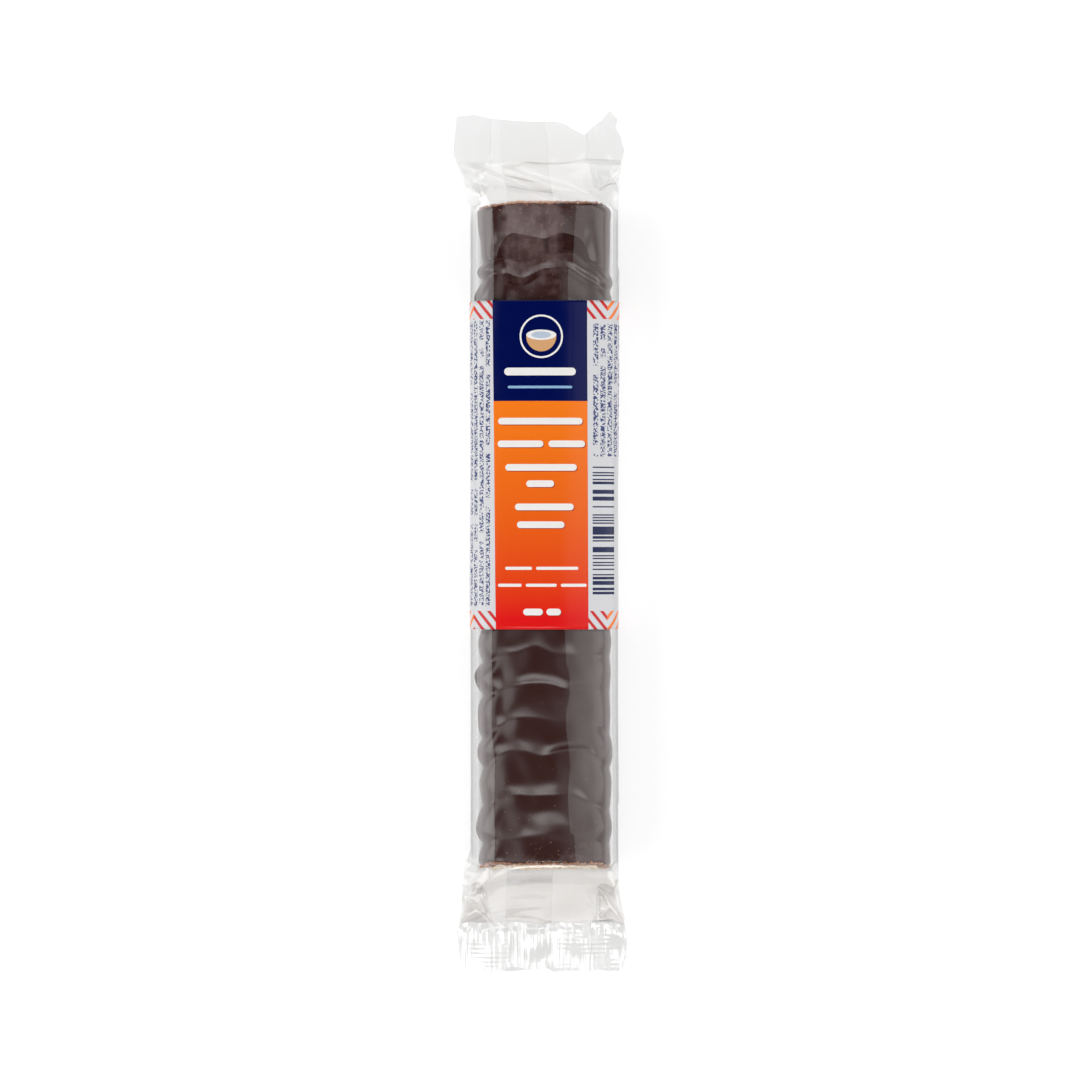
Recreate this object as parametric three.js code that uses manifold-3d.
// A dark chocolate coconut bar, sealed in clear film, with a printed label wrapped round its middle.
// The closed pack is one solid of its outer shape, because the film, the bar and the air in it stay together.
// Millimetres. +X is the pack's width, +Y runs to its head, and +Z is up from the surface that it lies on.
import * as THREE from "three";
import { mergeVertices } from "three/addons/utils/BufferGeometryUtils.js";
import Module from "manifold-3d";

const wasm = await Module();
wasm.setup();

// The film tube, a box section with round edges and a slightly domed top
const TUBE_WIDTH = 29.2;
const TUBE_HEIGHT = 21.6;
const TUBE_CORNER = 3.9;
const TUBE_CROWN = 0.9;
const TUBE_AXIS_X = 0.8;

// The lengthwise seam of the film, folded flat against the back, which the pack lies on
const FIN_WIDTH = 9.5;
const FIN_THICKNESS = 0.25;
const FIN_CENTRE_X = TUBE_AXIS_X - 2.75;
const FIN_BITE = 0.25;

// The pressed end seals, flat strips that stand off the tube at about half its height
const SEAL_THICKNESS = 0.7;
const SEAL_HEIGHT = 10.2;
const SEAL_DROOP = 1.6;
const SEAL_DROOP_REACH = 10;
const SEAL_WAVE = 0.55;
const SEAL_WAVE_REACH = 4;
const SEAL_WAVE_LENGTH = 21;
const SEAL_OVERLAP = 1.2;
const SEAL_SPARE_SIDE = 1.5;
const SEAL_SPARE_END = 11.5;
const SEAL_STEPS = 4;
const CRIMP_PITCH = 1.3;
const CRIMP_DEPTH = 0.36;
const TUCK_DEPTH = 5.6;

// How an end closes: how far its fall eases in and out, how flat its edge gets, and how sharply its sides tuck
const FALL_EASE = 0.55;
const SEALED_CORNER = SEAL_THICKNESS * 0.4;
const TUCK_SHARPNESS = 1.3;

// Each end of the pack: where the bar inside stops, where the seal starts, and how wide and where it is
const HEAD = { sign: 1, barEnd: 65.2, sealLine: 74.6, axis: -0.3, half: 16.7 };
const FOOT = { sign: -1, barEnd: 63.4, sealLine: 75.4, axis: 0.4, half: 16.85 };

// The printed label, a thin band let into the film tube so that both are flush
const LABEL_TOP_Y = 46.7;
const LABEL_BOTTOM_Y = -17.4;
const LABEL_THICKNESS = 0.3;
const LABEL_GAP = 0.3;
const LABEL_BACK_SLOT = FIN_WIDTH + 1.4;

// How finely the curved shapes are cut into flats
const PANEL_POINTS = 14;
const CORNER_POINTS = 3;
const SIDE_POINTS = 5;
const TUBE_STATIONS = 10;
const END_STATIONS = 12;

// Cut outlines of the end seals, in plan, starting and ending inside the pack
const HEAD_OUTLINE = [
  [-15.9, 72.4], [-17.2, 77.3], [-16.6, 84.0], [-13.1, 84.5], [-9.6, 83.7], [-2.0, 83.1], [3.8, 83.1],
  [5.9, 82.5], [7.0, 81.4], [8.7, 80.4], [10.2, 81.6], [12.8, 83.1], [13.7, 84.6], [14.5, 85.3],
  [15.3, 84.0], [14.9, 82.5], [15.9, 80.7], [16.6, 78.1], [15.8, 72.4],
];
const FOOT_OUTLINE = [
  [15.6, -73.0], [17.0, -76.0], [17.2, -80.0], [16.7, -83.8], [16.0, -85.2], [12.1, -84.8], [9.6, -85.3],
  [3.2, -85.2], [1.8, -84.5], [-1.0, -84.8], [-7.9, -85.2], [-10.7, -85.2], [-11.6, -84.5], [-16.4, -84.0],
  [-16.1, -81.0], [-16.5, -77.0], [-15.6, -73.0],
];

const lerp = THREE.MathUtils.lerp;
const smooth = (value) => THREE.MathUtils.smoothstep(value, 0, 1);
const TUBE_BOTTOM = FIN_THICKNESS;
const TUBE_TOP = FIN_THICKNESS + TUBE_HEIGHT;

// Height of an end seal's middle line, which droops outwards and waves across its width
function sealHeight(end, x, y) {
  const outwards = Math.max(0, Math.abs(y) - end.sealLine);
  const droop = SEAL_DROOP * smooth(outwards / SEAL_DROOP_REACH);
  const wave = SEAL_WAVE * Math.sin((2 * Math.PI * x) / SEAL_WAVE_LENGTH + end.sign);
  return SEAL_HEIGHT - droop + wave * smooth(outwards / SEAL_WAVE_REACH);
}

// How far the pack has closed at y: 0 over the bar, and 1 where the seal starts
function closing(end, y) {
  return THREE.MathUtils.clamp((Math.abs(y) - end.barEnd) / (end.sealLine - end.barEnd), 0, 1);
}

// The pack's cross-section at y, as the sizes of a box with round corners and tucked sides
function sectionAt(y) {
  const end = y > 0 ? HEAD : FOOT;
  const closed = closing(end, y);
  const fall = lerp(closed, smooth(closed), FALL_EASE);
  const middle = sealHeight(end, 0, 0);
  return {
    axis: lerp(TUBE_AXIS_X, end.axis, smooth(closed)),
    half: lerp(TUBE_WIDTH / 2, end.half, smooth(closed)),
    top: lerp(TUBE_TOP, middle + SEAL_THICKNESS / 2, fall),
    bottom: lerp(TUBE_BOTTOM, middle - SEAL_THICKNESS / 2, fall),
    corner: lerp(TUBE_CORNER, SEALED_CORNER, Math.sqrt(fall)),
    crown: TUBE_CROWN * (1 - fall),
    tuck: TUCK_DEPTH * Math.sin(Math.PI * closed) ** TUCK_SHARPNESS,
  };
}

// Points of a quarter circle, without its two ends
function cornerPoints(centreX, centreZ, radius, startAngle) {
  const points = [];
  for (let i = 1; i <= CORNER_POINTS; i += 1) {
    const angle = startAngle - (Math.PI / 2) * (i / (CORNER_POINTS + 1));
    points.push(new THREE.Vector2(centreX + radius * Math.cos(angle), centreZ + radius * Math.sin(angle)));
  }
  return points;
}

// A closed section outline, clockwise from the top left, drawn a distance inside the section's true outline
function outline(section, inset = 0) {
  const radius = Math.max(section.corner - inset, 0.1);
  const flat = section.half - section.corner;
  const shoulder = section.top - section.crown - inset;
  const floor = section.bottom + inset;
  const right = section.half - inset;
  const points = [];
  for (let i = 0; i < PANEL_POINTS; i += 1) {
    const x = lerp(-flat, flat, i / (PANEL_POINTS - 1));
    points.push(new THREE.Vector2(x, shoulder + section.crown * (1 - (x / flat) ** 2)));
  }
  points.push(...cornerPoints(flat, shoulder - radius, radius, Math.PI / 2));
  points.push(...sidePoints(right, shoulder - radius, floor + radius, section.tuck, 1));
  points.push(...cornerPoints(flat, floor + radius, radius, 0));
  for (let i = 0; i < PANEL_POINTS; i += 1) {
    points.push(new THREE.Vector2(lerp(flat, -flat, i / (PANEL_POINTS - 1)), floor));
  }
  points.push(...cornerPoints(-flat, floor + radius, radius, -Math.PI / 2));
  points.push(...sidePoints(right, floor + radius, shoulder - radius, section.tuck, -1));
  points.push(...cornerPoints(-flat, shoulder - radius, radius, Math.PI));
  points.forEach((point) => point.setX(point.x + section.axis));
  return points;
}

// One side wall of a section, folded inwards along its middle where the pack's end is tucked
function sidePoints(right, fromZ, toZ, tuck, side) {
  const points = [];
  for (let i = 0; i < SIDE_POINTS; i += 1) {
    const along = i / (SIDE_POINTS - 1);
    const fold = 1 - Math.abs(2 * along - 1);
    points.push(new THREE.Vector2(side * (right - tuck * fold), lerp(fromZ, toZ, along)));
  }
  return points;
}

// A closed skin over rings that all have the same number of points: capped at both ends, or joined end to end
function skin(rings, endless) {
  const count = rings[0].length;
  const points = rings.flat();
  const triangles = [];
  const joints = endless ? rings.length : rings.length - 1;
  for (let row = 0; row < joints; row += 1) {
    const below = row * count;
    const above = ((row + 1) % rings.length) * count;
    for (let i = 0; i < count; i += 1) {
      const next = (i + 1) % count;
      triangles.push(below + i, below + next, above + i, below + next, above + next, above + i);
    }
  }
  if (!endless) {
    for (const [ring, offset] of [[rings[0], 0], [rings.at(-1), points.length - count]]) {
      const centre = ring.reduce((sum, point) => sum.add(point), new THREE.Vector3()).divideScalar(count);
      const hub = points.push(centre) - 1;
      for (let i = 0; i < count; i += 1) {
        const pair = [offset + i, offset + ((i + 1) % count)];
        triangles.push(hub, ...(offset === 0 ? pair.reverse() : pair));
      }
    }
  }
  const geometry = new THREE.BufferGeometry().setFromPoints(points);
  geometry.setIndex(triangles);
  return geometry;
}

// The section outline at y as a ring of points in space, a distance inside the true outline
function ringAt(y, inset = 0, section = sectionAt(y)) {
  return outline(section, inset).map((point) => new THREE.Vector3(point.x, y, point.y));
}

// A closed three.js geometry as a solid that can be joined and cut
function toSolid(geometry) {
  const bare = geometry.clone();
  bare.deleteAttribute("normal");
  bare.deleteAttribute("uv");
  const merged = mergeVertices(bare, 1e-4);
  const solid = (corners) => {
    const vertProperties = new Float32Array(merged.attributes.position.array);
    return new wasm.Manifold(new wasm.Mesh({ numProp: 3, vertProperties, triVerts: corners }));
  };
  const corners = new Uint32Array(merged.index.array);
  const outwards = solid(corners);
  return outwards.volume() > 0 ? outwards : solid(corners.slice().reverse());
}

// A solid's surface as a three.js geometry with flat faces
function toGeometry(solid) {
  const mesh = solid.getMesh();
  const geometry = new THREE.BufferGeometry();
  geometry.setAttribute("position", new THREE.Float32BufferAttribute(mesh.vertProperties, 3));
  geometry.setIndex([...mesh.triVerts]);
  const flat = geometry.toNonIndexed();
  flat.computeVertexNormals();
  return flat;
}

// A plan or section shape pushed along Y, from one y to another
function pushAlongY(shape, fromY, toY, steps = 1) {
  const geometry = new THREE.ExtrudeGeometry(shape, { depth: toY - fromY, bevelEnabled: false, steps });
  geometry.rotateX(Math.PI / 2);
  geometry.translate(0, toY, 0);
  return geometry;
}

// One pressed end seal: a strip with sharp pleats along Y, bent to its droop and cut to its plan outline
function endSeal(end, cutPoints) {
  const teeth = Math.round((2 * (end.half + SEAL_SPARE_SIDE)) / CRIMP_PITCH) * 2;
  const left = end.axis - end.half - SEAL_SPARE_SIDE;
  const pleats = [];
  for (let i = 0; i <= teeth; i += 1) {
    pleats.push([left + (i * CRIMP_PITCH) / 2, (i % 2 ? 1 : -1) * (CRIMP_DEPTH / 2)]);
  }
  const top = pleats.map(([x, z]) => new THREE.Vector2(x, z + SEAL_THICKNESS / 2));
  const under = pleats.map(([x, z]) => new THREE.Vector2(x, z - SEAL_THICKNESS / 2)).reverse();
  const inner = end.sign * (end.sealLine - SEAL_OVERLAP);
  const outer = end.sign * (end.sealLine + SEAL_SPARE_END);
  const strip = pushAlongY(
    new THREE.Shape([...top, ...under]), Math.min(inner, outer), Math.max(inner, outer), SEAL_STEPS,
  );
  const place = strip.attributes.position;
  for (let i = 0; i < place.count; i += 1) {
    place.setZ(i, place.getZ(i) + sealHeight(end, place.getX(i), place.getY(i)));
  }
  const cut = new THREE.ExtrudeGeometry(
    new THREE.Shape(cutPoints.map(([x, y]) => new THREE.Vector2(x, y))),
    { depth: TUBE_HEIGHT, bevelEnabled: false },
  );
  return toSolid(strip).intersect(toSolid(cut));
}

// Every y at which the closed tube has a section: sparse over the bar, close where the ends fold shut
function tubeStations() {
  const stations = [];
  for (let i = 0; i <= END_STATIONS; i += 1) {
    stations.push(-lerp(FOOT.sealLine, FOOT.barEnd, i / END_STATIONS));
  }
  for (let i = 1; i < TUBE_STATIONS; i += 1) {
    stations.push(lerp(-FOOT.barEnd, HEAD.barEnd, i / TUBE_STATIONS));
  }
  for (let i = 0; i <= END_STATIONS; i += 1) {
    stations.push(lerp(HEAD.barEnd, HEAD.sealLine, i / END_STATIONS));
  }
  return stations;
}

// The folded lengthwise seam: a flat strip that follows the underside from one end seal to the other
function fin() {
  const rings = tubeStations().map((y) => {
    const under = sectionAt(y).bottom;
    const reach = [-FIN_WIDTH / 2, FIN_WIDTH / 2];
    const low = reach.map((x) => new THREE.Vector3(FIN_CENTRE_X + x, y, under - FIN_THICKNESS));
    const high = reach.map((x) => new THREE.Vector3(FIN_CENTRE_X + x, y, under + FIN_BITE));
    return [...low, ...high.reverse()];
  });
  return toSolid(skin(rings, false));
}

// A band round the tube between two insets, with a slot at the back that the lengthwise seam runs through
function band(outerInset, innerInset, slot, fromY, toY) {
  const section = sectionAt(0);
  const rings = [[fromY, outerInset], [toY, outerInset], [toY, innerInset], [fromY, innerInset]];
  const opening = new THREE.BoxGeometry(slot, toY - fromY + 2, TUBE_HEIGHT / 2);
  opening.translate(FIN_CENTRE_X, (fromY + toY) / 2, 0);
  const sleeve = skin(rings.map(([y, inset]) => ringAt(y, inset, section)), true);
  return toSolid(sleeve).subtract(toSolid(opening));
}

function labelBand() {
  return band(0, LABEL_THICKNESS, LABEL_BACK_SLOT, LABEL_BOTTOM_Y, LABEL_TOP_Y);
}

function labelRecess() {
  const depth = LABEL_THICKNESS + LABEL_GAP;
  const slot = LABEL_BACK_SLOT - 2 * LABEL_GAP;
  return band(-1, depth, slot, LABEL_BOTTOM_Y - LABEL_GAP, LABEL_TOP_Y + LABEL_GAP);
}

function filmPack() {
  return toSolid(skin(tubeStations().map((y) => ringAt(y)), false))
    .add(fin())
    .add(endSeal(HEAD, HEAD_OUTLINE))
    .add(endSeal(FOOT, FOOT_OUTLINE))
    .subtract(labelRecess());
}

// A named piece with its own material
function piece(name, solid, material) {
  const mesh = new THREE.Mesh(toGeometry(solid), new THREE.MeshStandardMaterial(material));
  mesh.name = name;
  return mesh;
}

const FILM = { color: 0x6f6260, roughness: 0.12, metalness: 0, transparent: true, opacity: 0.6 };
const LABEL = { color: 0xe8641e, roughness: 0.38, metalness: 0 };

const pack = new THREE.Group();
pack.add(piece("film_pack", filmPack(), FILM));
pack.add(piece("label", labelBand(), LABEL));

export default pack;
